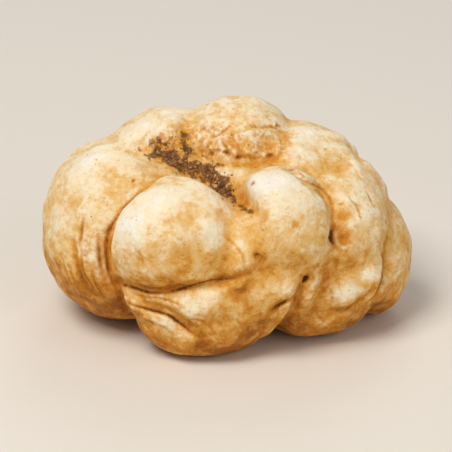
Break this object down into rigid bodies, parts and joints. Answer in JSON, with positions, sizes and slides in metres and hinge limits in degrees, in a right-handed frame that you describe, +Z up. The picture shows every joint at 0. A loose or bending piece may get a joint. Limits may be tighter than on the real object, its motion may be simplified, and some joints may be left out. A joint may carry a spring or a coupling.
{
  "type": "white truffle",
  "caption": "Whole white truffle, a pale knobbly fruiting body of swollen lobes with deep folds and small pits, lying on its lower lobes.",
  "frame": {"origin": "under the middle of the body's bounding box, in the plane that its lowest lobes rest on", "axes": "+Z up, +X along the greatest width to the right, -Y towards the side with the two round front lobes and the soil-filled fold above them"},
  "size_m": [0.08, 0.0588, 0.047],
  "materials": {
    "skin": "matte, mottled cream, tan and orange-brown, with traces of dark soil in the folds"
  },
  "bodies": {
    "root": {"truffle": "skin"}
  },
  "joints": []
}
